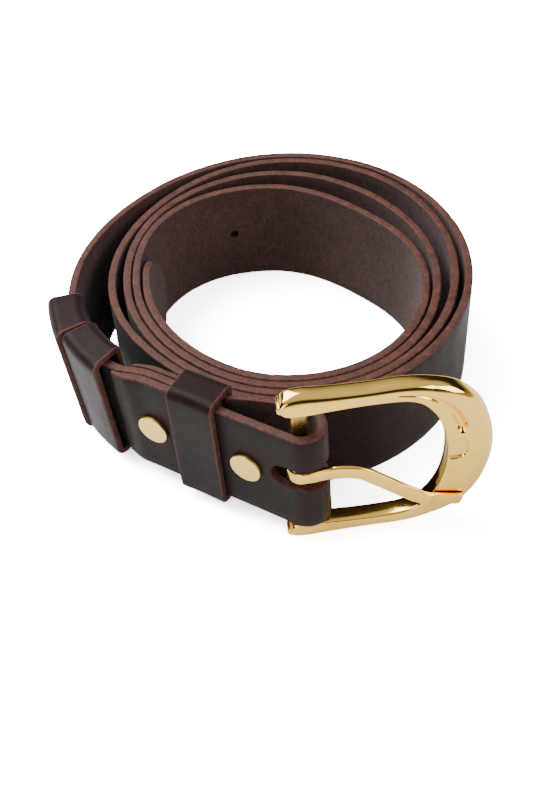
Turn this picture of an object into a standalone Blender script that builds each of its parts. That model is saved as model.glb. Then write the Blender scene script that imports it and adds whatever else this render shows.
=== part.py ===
"""Leather belt rolled up on its edge, with a heel-bar buckle held in a folded leather chape.

Metres, +Z up. The whole belt is centred on the Z axis and stands on the plane Z = 0. Seen from above, the strap
leaves the buckle at the front, runs clockwise round the coil and ends at its pointed tip inside.
"""

import math

import bmesh
import bpy
from mathutils import Matrix, Vector

MM = 0.001
FIT_GAP = 0.3 * MM
# The path below is measured from the middle of the coil, and the belt's own middle is a little to one side of it.
COIL_CENTRE_MM = (3.91, 6.2, 0.0)

# Strap
STRAP_WIDTH = 38.0 * MM
STRAP_THICKNESS = 2.5 * MM
STRAP_STEP = 2.5 * MM
# Radius of the outer face of the coil at W, NW, N, NE, E, SE, S and SW, one row for each turn, from outside in.
COIL_RADII_MM = (
    (61.4, 60.9, 63.4, 64.4, 62.4, 58.0, 53.8, 49.9),
    (52.8, 55.3, 60.2, 61.0, 58.0, 54.9, 50.9, 47.0),
    (48.0, 52.3, 53.8, 51.6, 51.9, 51.8, 48.0, 44.0),
    (45.0, 49.3, 46.5, 43.0, 48.0, 48.8, 45.1, 41.1),
    (41.9, 45.4, 45.4),
)
# The radius one step before the first row and the winding angle where the coil takes over from the bend.
RADIUS_BEFORE_COIL_MM = 68.6
COIL_START_DEG = -8.1
COIL_STEP_DEG = 6.0
TIP_PAST_LAST_TURN_DEG = 28.0
TIP_LENGTH = 15.0 * MM
TIP_END_WIDTH = 7.0 * MM
HOLE_DIAMETER = 3.0 * MM
HOLES_FROM_TIP = (247.0 * MM, 120.0 * MM, 95.0 * MM, 70.0 * MM)

# Straight stretch that runs from the coil to the buckle. Travel is measured along it from the bar.
STRETCH_HEADING = math.radians(-33.5)
STRETCH_FACE_DISTANCE = 59.1 * MM
BAR_ALONG = 41.8 * MM
LIFT_AT_BAR = 7.2 * MM
CLIMB = math.radians(1.5)
SETTLE_LENGTH = 140.0 * MM
STRAP_END_TRAVEL = 25.0 * MM
LEAN = math.radians(4.0)
LEAN_STARTS, LEAN_FULL, LEAN_FADES, LEAN_ENDS = 48.0 * MM, 62.0 * MM, 100.0 * MM, 150.0 * MM

# Chape, the folded piece that holds the buckle
CHAPE_THICKNESS = 2.5 * MM
CHAPE_BACK_THICKNESS = 1.8 * MM
CHAPE_FRONT_END = 60.4 * MM
CHAPE_BACK_END = 55.0 * MM
SKIVE_LENGTH = 6.0 * MM
SKIVED_THICKNESS = 1.0 * MM
FOLD_RADIUS = 7.0 * MM
WEDGE_START = 23.2 * MM
SLOT_END_TRAVEL = 7.2 * MM
SLOT_WIDTH = 8.6 * MM
SLOT_HEIGHT = 20.9 * MM

# Keepers
KEEPER_WALL = 2.2 * MM
KEEPER_BACK_WALL = 1.6 * MM
KEEPER_CORNER = 2.6 * MM
FIXED_KEEPER_SPAN = (23.8 * MM, 39.0 * MM)
# Span of each sliding keeper along the strap, and the room in it behind the strap and in front of it.
SLIDING_KEEPERS = {
    "keeper_near": ((62.4 * MM, 77.1 * MM), 2.7 * MM, 2.3 * MM),
    "keeper_far": ((77.7 * MM, 91.9 * MM), 1.3 * MM, 3.7 * MM),
}
STAPLE_WIRE = 0.7 * MM
STAPLE_CROWN = 8.0 * MM

# Chicago screws
SCREW_TRAVELS = (15.2 * MM, 47.2 * MM)
SCREW_CAP_DIAMETER = 10.0 * MM
SCREW_CAP_HEIGHT = 1.2 * MM
BARREL_DIAMETER = 5.0 * MM
BARREL_BORE = 3.4 * MM
THREAD_DIAMETER = 2.8 * MM
SCREW_SLOT_WIDTH = 1.0 * MM
SCREW_SLOT_DEPTH = 0.6 * MM

# Buckle frame, in its own plane: X from the bar to the nose, Z along the bar, Y away from its front face
FRAME_HEADING = math.radians(4.0)
FRAME_HALF_HEIGHT = 30.4 * MM
FRAME_DEPTH = 5.8 * MM
FRAME_AHEAD = 1.6 * MM
FRAME_BEVEL = 1.5 * MM
# Outer and inner edge of one arm, as (x, z), from its free end to the middle of the nose.
FRAME_EDGES_MM = (
    ((-5.2, 27.9), (-5.2, 25.6)),
    ((-3.4, 29.7), (-3.4, 23.9)),
    ((0.6, 30.4), (0.6, 23.4)),
    ((8.0, 29.7), (8.0, 23.9)),
    ((18.0, 29.3), (18.0, 24.3)),
    ((28.0, 29.4), (27.5, 23.9)),
    ((36.0, 28.1), (32.8, 22.0)),
    ((43.6, 24.9), (36.6, 17.4)),
    ((49.6, 18.2), (38.9, 12.0)),
    ((53.0, 9.2), (40.2, 6.0)),
    ((54.1, 0.0), (40.6, 0.0)),
)
FRAME_STEPS = 4
BAR_WIDTH = 4.6 * MM
BAR_DEPTH = 2.4 * MM
BAR_BEHIND_FACE = 5.4 * MM

# Tongue
TONGUE_LOOP_BORE = 3.0 * MM
TONGUE_CURL_DEG = 300.0
TONGUE_CURL_STEPS = 15
TONGUE_THICKNESS = 1.8 * MM
TONGUE_WIDTH = 4.6 * MM
TONGUE_HEIGHT = 20.8 * MM
# Middle of the tongue's front face in the buckle's plane, as (x, z) from the middle of its loop.
TONGUE_LINE_MM = ((2.0, 0.0), (9.0, 1.2), (16.0, 0.1), (21.0, -3.6), (29.4, -10.5), (35.5, -15.0), (44.2, -17.4))
# Where along it the tongue starts to come forward from its loop, and where it is clear of the nose.
TONGUE_FORWARD_START, TONGUE_FORWARD_END = 4.0 * MM, 28.0 * MM
TONGUE_STEPS = 4
TIP_CHAMFER = 1.6 * MM

GOLD = (0.83, 0.60, 0.22, 1.0)
LEATHER = (0.052, 0.026, 0.021, 1.0)
STEEL = (0.55, 0.55, 0.56, 1.0)
UP = Vector((0.0, 0.0, 1.0))
COIL_CENTRE = Vector(COIL_CENTRE_MM) * MM


def clear_scene():
    for old in list(bpy.data.objects):
        bpy.data.objects.remove(old, do_unlink=True)


def make_material(name, colour, roughness, metallic):
    material = bpy.data.materials.new(name)
    material.use_nodes = True
    shader = material.node_tree.nodes["Principled BSDF"]
    shader.inputs["Base Color"].default_value = colour
    shader.inputs["Roughness"].default_value = roughness
    shader.inputs["Metallic"].default_value = metallic
    return material


def mix(a, b, share):
    return a + (b - a) * share


def smooth(value, start, end):
    share = min(max((value - start) / (end - start), 0.0), 1.0)
    return share * share * (3.0 - 2.0 * share)


def curve_point(points, place):
    """Catmull-Rom curve through a list of values or vectors; place counts points."""
    last = len(points) - 1
    index = min(int(place), last - 1)
    share = place - index
    p0, p1 = points[max(index - 1, 0)], points[index]
    p2, p3 = points[index + 1], points[min(index + 2, last)]
    a = (p2 - p0) * 0.5
    b = (p3 - p1) * 0.5
    square, cube = share * share, share * share * share
    return (
        p1 * (2 * cube - 3 * square + 1) + a * (cube - 2 * square + share)
        + p2 * (3 * square - 2 * cube) + b * (cube - square)
    )


# ---------------------------------------------------------------- path of the strap

ALONG = Vector((math.cos(STRETCH_HEADING), math.sin(STRETCH_HEADING), 0.0))
FACING = Vector((math.sin(STRETCH_HEADING), -math.cos(STRETCH_HEADING), 0.0))


def coil_plan(winding_deg):
    radii = [RADIUS_BEFORE_COIL_MM * MM] + [radius * MM for row in COIL_RADII_MM for radius in row]
    radius = curve_point(radii, 1.0 + winding_deg / 45.0)
    angle = math.pi - math.radians(winding_deg)
    return Vector((radius * math.cos(angle), radius * math.sin(angle), 0.0))


# The bend between the straight stretch and the coil is one arc, tangent to both.
COIL_START = coil_plan(COIL_START_DEG)
BEND_RADIUS = (STRETCH_FACE_DISTANCE - FACING.dot(COIL_START)) / (1.0 + FACING.x)
BEND_CENTRE = COIL_START + Vector((BEND_RADIUS, 0.0, 0.0))
BEND_START = BAR_ALONG - ALONG.dot(BEND_CENTRE)
BEND_ANGLE = math.pi + math.atan2(FACING.y, FACING.x)
BEND_END = BEND_START + BEND_RADIUS * BEND_ANGLE


def lift(travel):
    """Height of the strap's lower edge above the floor."""
    straight = LIFT_AT_BAR - math.tan(CLIMB) * min(travel, BEND_START)
    return straight * (1.0 - smooth(travel, BEND_START, BEND_START + SETTLE_LENGTH))


def lean(travel):
    return LEAN * (smooth(travel, LEAN_STARTS, LEAN_FULL) - smooth(travel, LEAN_FADES, LEAN_ENDS))


class Station:
    """A place on the strap: point on its outer face's lower edge, and unit vectors forward, outward and across."""

    def __init__(self, plan, forward, travel):
        slope = (lift(travel + MM) - lift(travel - MM)) / (2 * MM)
        level_out = Vector((forward.y, -forward.x, 0.0))
        if level_out.dot(plan) < 0:
            level_out.negate()
        self.travel = travel
        self.forward = (forward + UP * slope).normalized()
        across = (UP - self.forward * UP.dot(self.forward)).normalized()
        tilt = lean(travel)
        self.across = across * math.cos(tilt) + level_out * math.sin(tilt)
        self.out = level_out * math.cos(tilt) - across * math.sin(tilt)
        self.origin = Vector((plan.x, plan.y, lift(travel)))

    def at(self, out, across):
        return self.origin + self.out * out + self.across * across


def lead_station(travel):
    """Station between the buckle and the coil."""
    if travel <= BEND_START:
        plan = FACING * STRETCH_FACE_DISTANCE + ALONG * (BAR_ALONG - travel)
        return Station(plan, -ALONG, travel)
    angle = math.atan2(FACING.y, FACING.x) - (travel - BEND_START) / BEND_RADIUS
    outward = Vector((math.cos(angle), math.sin(angle), 0.0))
    return Station(BEND_CENTRE + outward * BEND_RADIUS, Vector((outward.y, -outward.x, 0.0)), travel)


def strap_stations():
    stations = []
    travel = STRAP_END_TRAVEL
    while travel < BEND_END - 2.0 * MM:
        stations.append(lead_station(travel))
        travel += STRAP_STEP
    last_winding = 360.0 * (len(COIL_RADII_MM) - 1) + TIP_PAST_LAST_TURN_DEG
    travel = BEND_END
    winding = COIL_START_DEG
    before = COIL_START
    while winding <= last_winding + 0.01:
        plan = coil_plan(winding)
        travel += (plan - before).length
        before = plan
        forward = (coil_plan(winding + 0.5) - coil_plan(winding - 0.5)).normalized()
        stations.append(Station(plan, forward, travel))
        # Shorter steps shape the tip.
        winding += COIL_STEP_DEG if winding < last_winding - 24.0 else 2.0
    return stations


STRAP_STATIONS = strap_stations()
STRAP_TIP_TRAVEL = STRAP_STATIONS[-1].travel


def station_near(travel):
    return min(STRAP_STATIONS, key=lambda station: abs(station.travel - travel))


# ---------------------------------------------------------------- mesh helpers


def new_object(name, bm, material, origin=None):
    bmesh.ops.recalc_face_normals(bm, faces=bm.faces)
    place = COIL_CENTRE if origin is None else origin + COIL_CENTRE
    bmesh.ops.translate(bm, verts=bm.verts, vec=COIL_CENTRE - place)
    mesh = bpy.data.meshes.new(name)
    bm.to_mesh(mesh)
    bm.free()
    mesh.shade_smooth()
    mesh.set_sharp_from_angle(angle=math.radians(35))
    if material is not None:
        mesh.materials.append(material)
    obj = bpy.data.objects.new(name, mesh)
    bpy.context.scene.collection.objects.link(obj)
    obj.location = place
    return obj


def sweep(rings, closed=False):
    """Skin over rings of points, with flat ends unless it closes on itself."""
    bm = bmesh.new()
    rows = [[bm.verts.new(point) for point in ring] for ring in rings]
    pairs = list(zip(rows, rows[1:]))
    if closed:
        pairs.append((rows[-1], rows[0]))
    count = len(rows[0])
    for row, following in pairs:
        for i in range(count):
            j = (i + 1) % count
            bm.faces.new((row[i], row[j], following[j], following[i]))
    if not closed:
        bm.faces.new(rows[0])
        bm.faces.new(rows[-1])
    return bm


def strip_ring(station, outer, inner, low, high):
    """Four corners of a strip's section; outer and inner are offsets from the strap's outer face."""
    return [
        station.at(outer, low), station.at(outer, high), station.at(inner, high), station.at(inner, low)
    ]


def cylinder(bm, centre, axis, diameter, length, sides=24):
    turn = UP.rotation_difference(axis).to_matrix().to_4x4()
    bmesh.ops.create_cone(
        bm, cap_ends=True, segments=sides, radius1=diameter / 2, radius2=diameter / 2, depth=length,
        matrix=Matrix.Translation(centre) @ turn,
    )


def cutter(name, bm):
    obj = new_object(name, bm, None)
    obj.hide_render = True
    obj.display_type = "WIRE"
    return obj


def boolean(target, other, operation="DIFFERENCE"):
    modifier = target.modifiers.new(other.name, "BOOLEAN")
    modifier.operation = operation
    modifier.solver = "EXACT"
    modifier.object = other


# ---------------------------------------------------------------- leather


def build_strap(material):
    rings = []
    middle = STRAP_WIDTH / 2
    for station in STRAP_STATIONS:
        left = STRAP_TIP_TRAVEL - station.travel
        half = middle
        if left < TIP_LENGTH:
            share = 1.0 - left / TIP_LENGTH
            half = mix(TIP_END_WIDTH / 2, middle, math.sqrt(max(1.0 - share * share, 0.0)))
        rings.append(strip_ring(station, 0.0, -STRAP_THICKNESS, middle - half, middle + half))
    strap = new_object("strap", sweep(rings), material)
    holes = bmesh.new()
    for distance in HOLES_FROM_TIP:
        station = station_near(STRAP_TIP_TRAVEL - distance)
        cylinder(holes, station.at(-STRAP_THICKNESS / 2, middle), station.out, HOLE_DIAMETER,
                 STRAP_THICKNESS + 2 * MM, sides=12)
    far_screw = lead_station(SCREW_TRAVELS[1])
    cylinder(holes, far_screw.at(-STRAP_THICKNESS / 2, middle), far_screw.out,
             BARREL_DIAMETER + 2 * FIT_GAP, STRAP_THICKNESS + 2 * MM, sides=16)
    boolean(strap, cutter("strap_holes_cutter", holes))
    return strap


def back_leg_inner(travel):
    """Offset of the back leg's inner face. It lies on the strap's end, then swings out to go round the bar."""
    resting = -(STRAP_THICKNESS + FIT_GAP)
    at_bar = CHAPE_THICKNESS + FIT_GAP - 2 * FOLD_RADIUS + CHAPE_THICKNESS
    share = min(max((WEDGE_START - travel) / WEDGE_START, 0.0), 1.0)
    return mix(resting, at_bar, math.sin(share * math.pi / 2))


def skived(thickness, travel, end):
    return mix(SKIVED_THICKNESS, thickness, min((end - travel) / SKIVE_LENGTH, 1.0))


def leg_travels(end):
    """Travels of a leg's rings, from its end to the fold, at the same places as the strap's own rings."""
    travels = [end]
    place = STRAP_STEP * math.floor(end / STRAP_STEP)
    while place > STRAP_STEP / 2:
        travels.append(place)
        place -= STRAP_STEP
    return travels


def build_chape(material):
    rings = []
    for travel in leg_travels(CHAPE_FRONT_END):
        thickness = skived(CHAPE_THICKNESS, travel, CHAPE_FRONT_END)
        rings.append(strip_ring(lead_station(travel), FIT_GAP + thickness, FIT_GAP, 0.0, STRAP_WIDTH))
    bar = lead_station(0.0)
    middle = CHAPE_THICKNESS + FIT_GAP - FOLD_RADIUS
    for step in range(13):
        angle = math.pi * step / 12
        ring = []
        for radius, height in (
            (FOLD_RADIUS, 0.0), (FOLD_RADIUS, STRAP_WIDTH),
            (FOLD_RADIUS - CHAPE_THICKNESS, STRAP_WIDTH), (FOLD_RADIUS - CHAPE_THICKNESS, 0.0),
        ):
            ring.append(bar.at(middle + radius * math.cos(angle), height)
                        - bar.forward * (radius * math.sin(angle)))
        rings.append(ring)
    for travel in reversed(leg_travels(CHAPE_BACK_END)):
        thickness = mix(CHAPE_THICKNESS, CHAPE_BACK_THICKNESS, smooth(travel, 0.0, WEDGE_START))
        thickness = skived(thickness, travel, CHAPE_BACK_END)
        inner = back_leg_inner(travel)
        rings.append(strip_ring(lead_station(travel), inner - thickness, inner, 0.0, STRAP_WIDTH))
    chape = new_object("buckle_chape", sweep(rings), material)

    cuts = bmesh.new()
    for travel in SCREW_TRAVELS:
        station = lead_station(travel)
        cylinder(cuts, station.at(0.0, STRAP_WIDTH / 2), station.out, BARREL_DIAMETER + 2 * FIT_GAP,
                 40 * MM, sides=16)
    boolean(chape, cutter("chape_screw_holes_cutter", cuts))

    slot = bmesh.new()
    outline = []
    radius = SLOT_WIDTH / 2
    for step in range(9):
        angle = math.pi / 2 + math.pi * step / 8
        outline.append((SLOT_END_TRAVEL - radius - radius * math.cos(angle), radius * math.sin(angle)))
    outline += [(-12 * MM, -radius), (-12 * MM, radius)]
    faces = []
    for out in (8 * MM, -16 * MM):
        verts = [
            slot.verts.new(bar.at(out, SLOT_HEIGHT + height) + bar.forward * along) for along, height in outline
        ]
        faces.append(verts)
    slot.faces.new(faces[0])
    slot.faces.new(faces[1])
    for i in range(len(outline)):
        j = (i + 1) % len(outline)
        slot.faces.new((faces[0][i], faces[0][j], faces[1][j], faces[1][i]))
    boolean(chape, cutter("chape_slot_cutter", slot))
    return chape


def rounded_loop(low_out, high_out, low_across, high_across, radius, per_corner=4):
    """Points of a rounded rectangle as (out, across)."""
    points = []
    corners = (
        (high_out - radius, high_across - radius, 0.0), (low_out + radius, high_across - radius, 90.0),
        (low_out + radius, low_across + radius, 180.0), (high_out - radius, low_across + radius, 270.0),
    )
    for out, across, start in corners:
        for step in range(per_corner):
            angle = math.radians(start + 90.0 * step / (per_corner - 1))
            points.append((out + radius * math.cos(angle), across + radius * math.sin(angle)))
    return points


def keeper_mesh(span, inside_low, inside_high):
    """Leather loop round the strap. Its inside runs from inside_low to inside_high, measured outward."""
    margin = FIT_GAP + 0.2 * MM
    inner = rounded_loop(inside_low, inside_high, -margin, STRAP_WIDTH + margin, 0.8 * MM)
    outer = rounded_loop(
        inside_low - KEEPER_BACK_WALL, inside_high + KEEPER_WALL,
        -margin - KEEPER_WALL, STRAP_WIDTH + margin + KEEPER_WALL, KEEPER_CORNER,
    )
    bm = bmesh.new()
    steps = 5
    outer_rows, inner_rows = [], []
    for step in range(steps + 1):
        station = lead_station(mix(span[0], span[1], step / steps))
        outer_rows.append([bm.verts.new(station.at(*point)) for point in outer])
        inner_rows.append([bm.verts.new(station.at(*point)) for point in inner])
    count = len(outer)
    for rows in (outer_rows, inner_rows):
        for row, following in zip(rows, rows[1:]):
            for i in range(count):
                j = (i + 1) % count
                bm.faces.new((row[i], row[j], following[j], following[i]))
    for end in (0, -1):
        for i in range(count):
            j = (i + 1) % count
            bm.faces.new((outer_rows[end][i], outer_rows[end][j], inner_rows[end][j], inner_rows[end][i]))
    return bm


def build_keeper(name, span, inside_low, inside_high, material, metal):
    """A keeper and the wire staple that closes it at the middle of its back. A sliding one turns round the bend."""
    middle = lead_station((span[0] + span[1]) / 2)
    origin = middle.origin if span[0] < BEND_START else BEND_CENTRE
    keeper = new_object(name, keeper_mesh(span, inside_low, inside_high), material, origin)
    inside = inside_low
    outside = inside - KEEPER_BACK_WALL
    legs = bmesh.new()
    for side in (-1, 1):
        centre = middle.at((inside + outside) / 2, STRAP_WIDTH / 2 + side * STAPLE_CROWN / 2)
        cylinder(legs, centre, middle.out, STAPLE_WIRE + 2 * FIT_GAP, KEEPER_BACK_WALL + 2 * MM, sides=8)
    boolean(keeper, cutter(name + "_holes_cutter", legs))

    half = STAPLE_CROWN / 2
    reach = STAPLE_WIRE / 2
    top = outside - FIT_GAP - reach
    route = [(inside + 0.05 * MM, half), (top, half), (top, -half), (inside + 0.05 * MM, -half)]
    rings = []
    for index, (out, across) in enumerate(route):
        ring = []
        for step in range(8):
            angle = 2 * math.pi * step / 8
            side, other = reach * math.cos(angle), reach * math.sin(angle)
            if index in (0, 3):
                sign = 1.0 if index == 0 else -1.0
                ring.append(middle.at(out, STRAP_WIDTH / 2 + across + side * sign) + middle.forward * other)
            else:
                # At each bend the section lies on the mitre between leg and crown.
                sign = 1.0 if index == 1 else -1.0
                ring.append(middle.at(out - side, STRAP_WIDTH / 2 + across + side * sign)
                            + middle.forward * other)
        rings.append(ring)
    staple = new_object(name + "_staple", sweep(rings), metal, origin)
    return keeper, staple


# ---------------------------------------------------------------- screws


def build_screw(name, travel, material):
    """Chicago screw: a flat-headed post from the front and a slotted screw that threads into it from the back."""
    station = lead_station(travel)
    across = STRAP_WIDTH / 2
    front = CHAPE_THICKNESS + FIT_GAP + FIT_GAP
    thickness = mix(CHAPE_THICKNESS, CHAPE_BACK_THICKNESS, smooth(travel, 0.0, WEDGE_START))
    back = back_leg_inner(travel) - thickness - FIT_GAP
    if travel < WEDGE_START:
        # The legs stand at an angle here, so the screw's head lies on the leg's farther edge.
        back = back_leg_inner(travel - SCREW_CAP_DIAMETER / 2) - thickness - FIT_GAP
    origin = station.at(front, across)
    out = station.out

    post = bmesh.new()
    cap_middle = station.at(front + SCREW_CAP_HEIGHT / 2, across)
    cylinder(post, cap_middle, out, SCREW_CAP_DIAMETER, SCREW_CAP_HEIGHT, sides=32)
    barrel_length = front - back - FIT_GAP
    barrel = bmesh.new()
    cylinder(barrel, station.at(front + 0.4 * MM - (barrel_length + 0.4 * MM) / 2, across), out,
             BARREL_DIAMETER, barrel_length + 0.4 * MM, sides=16)
    bore = bmesh.new()
    cylinder(bore, station.at(front - 0.4 * MM - barrel_length / 2, across), out, BARREL_BORE, barrel_length,
             sides=16)
    post_obj = new_object(name + "_post", post, material, origin)
    boolean(post_obj, cutter(name + "_barrel", barrel), "UNION")
    boolean(post_obj, cutter(name + "_bore_cutter", bore))

    head = bmesh.new()
    cylinder(head, station.at(back - SCREW_CAP_HEIGHT / 2, across), out, SCREW_CAP_DIAMETER * 0.9,
             SCREW_CAP_HEIGHT, sides=32)
    thread = bmesh.new()
    thread_length = barrel_length - 1.6 * MM
    cylinder(thread, station.at(back - 0.4 * MM + (thread_length + 0.4 * MM) / 2, across), out, THREAD_DIAMETER,
             thread_length + 0.4 * MM, sides=16)
    slot = bmesh.new()
    bmesh.ops.create_cube(slot, size=1.0)
    scale = Matrix.Diagonal((SCREW_CAP_DIAMETER * 1.2, SCREW_SLOT_WIDTH, 2 * SCREW_SLOT_DEPTH, 1.0))
    turn = Matrix((station.forward, station.across, station.out)).transposed().to_4x4()
    place = Matrix.Translation(station.at(back - SCREW_CAP_HEIGHT, across))
    bmesh.ops.transform(slot, matrix=place @ turn @ scale, verts=slot.verts)
    screw_obj = new_object(name + "_screw", head, material, origin)
    boolean(screw_obj, cutter(name + "_thread", thread), "UNION")
    boolean(screw_obj, cutter(name + "_slot_cutter", slot))
    return post_obj, screw_obj


# ---------------------------------------------------------------- buckle

BAR_STATION = lead_station(0.0)
BAR_FOOT = BAR_STATION.at(CHAPE_THICKNESS + FIT_GAP - BAR_BEHIND_FACE, 0.0)
FRAME_UP = BAR_STATION.across
FRAME_OUT = Vector((math.cos(FRAME_HEADING), math.sin(FRAME_HEADING), 0.0))
FRAME_OUT = (FRAME_OUT - FRAME_UP * FRAME_OUT.dot(FRAME_UP)).normalized()
FRAME_FRONT = FRAME_OUT.cross(FRAME_UP).normalized()
# The lower arm stands on the floor.
FRAME_MIDDLE = BAR_FOOT + FRAME_UP * (FRAME_HALF_HEIGHT - BAR_FOOT.z / FRAME_UP.z + 0.1 * MM)


def on_frame(x, y, z):
    """Point from the buckle's own coordinates: y counts away from the front face's side."""
    return FRAME_MIDDLE + FRAME_OUT * x - FRAME_FRONT * y + FRAME_UP * z


def frame_section(outer, inner):
    """Ring of eight points: a rectangle between the two edges with its corners cut off."""
    across = outer - inner
    width = across.length
    cut = min(FRAME_BEVEL, width * 0.3) / width
    half = FRAME_DEPTH / 2
    ring = []
    for share, depth in (
        (0.0, -half + FRAME_BEVEL), (cut, -half), (1.0 - cut, -half), (1.0, -half + FRAME_BEVEL),
        (1.0, half - FRAME_BEVEL), (1.0 - cut, half), (cut, half), (0.0, half - FRAME_BEVEL),
    ):
        place = inner + across * share
        ring.append(on_frame(place.x, depth - FRAME_AHEAD, place.y))
    return ring


def build_frame(material):
    outer = [Vector(pair[0]) * MM for pair in FRAME_EDGES_MM]
    inner = [Vector(pair[1]) * MM for pair in FRAME_EDGES_MM]
    flip = Vector((1.0, -1.0))
    outer += [point * flip for point in reversed(outer[:-1])]
    inner += [point * flip for point in reversed(inner[:-1])]
    rings = []
    total = (len(outer) - 1) * FRAME_STEPS
    for step in range(total + 1):
        place = step / FRAME_STEPS
        rings.append(frame_section(curve_point(outer, place), curve_point(inner, place)))
    frame = new_object("buckle_frame", sweep(rings), material, FRAME_MIDDLE)
    bar = bmesh.new()
    bmesh.ops.create_cube(bar, size=1.0)
    turn = Matrix((FRAME_OUT, -FRAME_FRONT, FRAME_UP)).transposed().to_4x4()
    length = 2 * FRAME_HALF_HEIGHT - 8.0 * MM
    scale = Matrix.Diagonal((BAR_WIDTH, BAR_DEPTH, length, 1.0))
    bmesh.ops.transform(bar, matrix=Matrix.Translation(FRAME_MIDDLE) @ turn @ scale, verts=bar.verts)
    boolean(frame, cutter("bar", bar), "UNION")
    return frame


def build_tongue(material):
    """Flat bar with one end curled round the heel bar. It hangs askew across the window and lies on the nose."""
    centre = FRAME_MIDDLE + FRAME_UP * (TONGUE_HEIGHT - (FRAME_MIDDLE - BAR_FOOT).length)
    half = TONGUE_WIDTH / 2
    inner, outer = TONGUE_LOOP_BORE, TONGUE_LOOP_BORE + TONGUE_THICKNESS
    rings = []

    def add_ring(low, high, middle, sideways):
        """low and high are (x, y) of the section's two faces; sideways is its (x, z) half width."""
        ring = []
        for point, sign in ((low, -1), (low, 1), (high, 1), (high, -1)):
            x = point.x + sign * sideways.x
            z = middle + sign * sideways.y
            ring.append(centre + FRAME_OUT * x - FRAME_FRONT * point.y + FRAME_UP * z)
        rings.append(ring)

    for step in range(TONGUE_CURL_STEPS + 1):
        angle = math.radians(TONGUE_CURL_DEG) * (1.0 - step / TONGUE_CURL_STEPS)
        direction = Vector((-math.sin(angle), -math.cos(angle)))
        add_ring(direction * inner, direction * outer, 0.0, Vector((0.0, half)))
    line = [Vector(point) * MM for point in TONGUE_LINE_MM]
    face = FRAME_DEPTH / 2 + FRAME_AHEAD + FIT_GAP
    total = (len(line) - 1) * TONGUE_STEPS
    for step in range(total + 1):
        place = min(step / TONGUE_STEPS, len(line) - 1.001)
        point = curve_point(line, place)
        along = (curve_point(line, place + 0.001) - point).normalized()
        sideways = Vector((-along.y, along.x)) * half
        ramp = (point.x - TONGUE_FORWARD_START) / (TONGUE_FORWARD_END - TONGUE_FORWARD_START)
        low = mix(inner, face, min(max(ramp, 0.0), 1.0))
        add_ring(Vector((point.x, -low)), Vector((point.x, -low - TONGUE_THICKNESS)), point.y, sideways)
    # The tip is chamfered down to the nose.
    end = point + along * TIP_CHAMFER
    add_ring(Vector((end.x, -face)), Vector((end.x, -face - TONGUE_THICKNESS / 2)), end.y, sideways * 0.7)
    return new_object("buckle_tongue", sweep(rings), material, centre)


def main():
    clear_scene()
    leather = make_material("strap_leather", LEATHER, 0.45, 0.0)
    chape_leather = make_material("chape_leather", LEATHER, 0.42, 0.0)
    keeper_leather = make_material("keeper_leather", LEATHER, 0.40, 0.0)
    gold = make_material("gold_plate", GOLD, 0.15, 1.0)
    screw_gold = make_material("screw_gold", GOLD, 0.25, 1.0)
    steel = make_material("staple_steel", STEEL, 0.35, 1.0)

    build_strap(leather)
    build_chape(chape_leather)
    inside_low = -(STRAP_THICKNESS + FIT_GAP + CHAPE_BACK_THICKNESS + FIT_GAP)
    inside_high = FIT_GAP + CHAPE_THICKNESS + FIT_GAP
    build_keeper("keeper_fixed", FIXED_KEEPER_SPAN, inside_low, inside_high, keeper_leather, steel)
    for name, (span, room_behind, room_ahead) in SLIDING_KEEPERS.items():
        build_keeper(name, span, -STRAP_THICKNESS - room_behind, room_ahead, keeper_leather, steel)
    for index, travel in enumerate(SCREW_TRAVELS, start=1):
        build_screw(f"chicago_{index}", travel, screw_gold)
    build_frame(gold)
    build_tongue(gold)


main()
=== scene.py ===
"""Looks of the rolled leather belt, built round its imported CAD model.

Leather is swept along the strap's path with rounded edges, a grain side and a flesh side.
Metal is swept or turned finely enough for clean reflections. Lengths are in metres.
"""

import math

import bmesh
import bpy
from mathutils import Matrix, Vector, noise


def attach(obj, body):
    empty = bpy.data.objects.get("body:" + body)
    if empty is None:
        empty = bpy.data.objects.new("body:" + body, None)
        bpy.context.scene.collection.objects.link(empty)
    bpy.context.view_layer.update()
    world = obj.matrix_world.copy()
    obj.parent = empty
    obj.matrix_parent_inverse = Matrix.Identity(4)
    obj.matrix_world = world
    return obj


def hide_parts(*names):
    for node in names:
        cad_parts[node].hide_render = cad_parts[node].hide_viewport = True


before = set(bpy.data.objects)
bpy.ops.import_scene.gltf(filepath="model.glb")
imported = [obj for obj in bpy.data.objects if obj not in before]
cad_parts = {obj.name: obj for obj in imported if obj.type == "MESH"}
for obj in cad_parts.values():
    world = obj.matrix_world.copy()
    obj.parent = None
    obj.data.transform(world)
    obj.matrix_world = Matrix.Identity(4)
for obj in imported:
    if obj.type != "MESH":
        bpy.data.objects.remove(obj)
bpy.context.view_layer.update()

MM = 0.001
GAP = 0.3 * MM
UP = Vector((0.0, 0.0, 1.0))
# The path is measured from the middle of the coil, as the CAD model's is.
COIL_CENTRE = Vector((3.91, 6.2, 0.0)) * MM

STRAP_WIDTH = 38.0 * MM
STRAP_THICKNESS = 2.5 * MM
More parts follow.
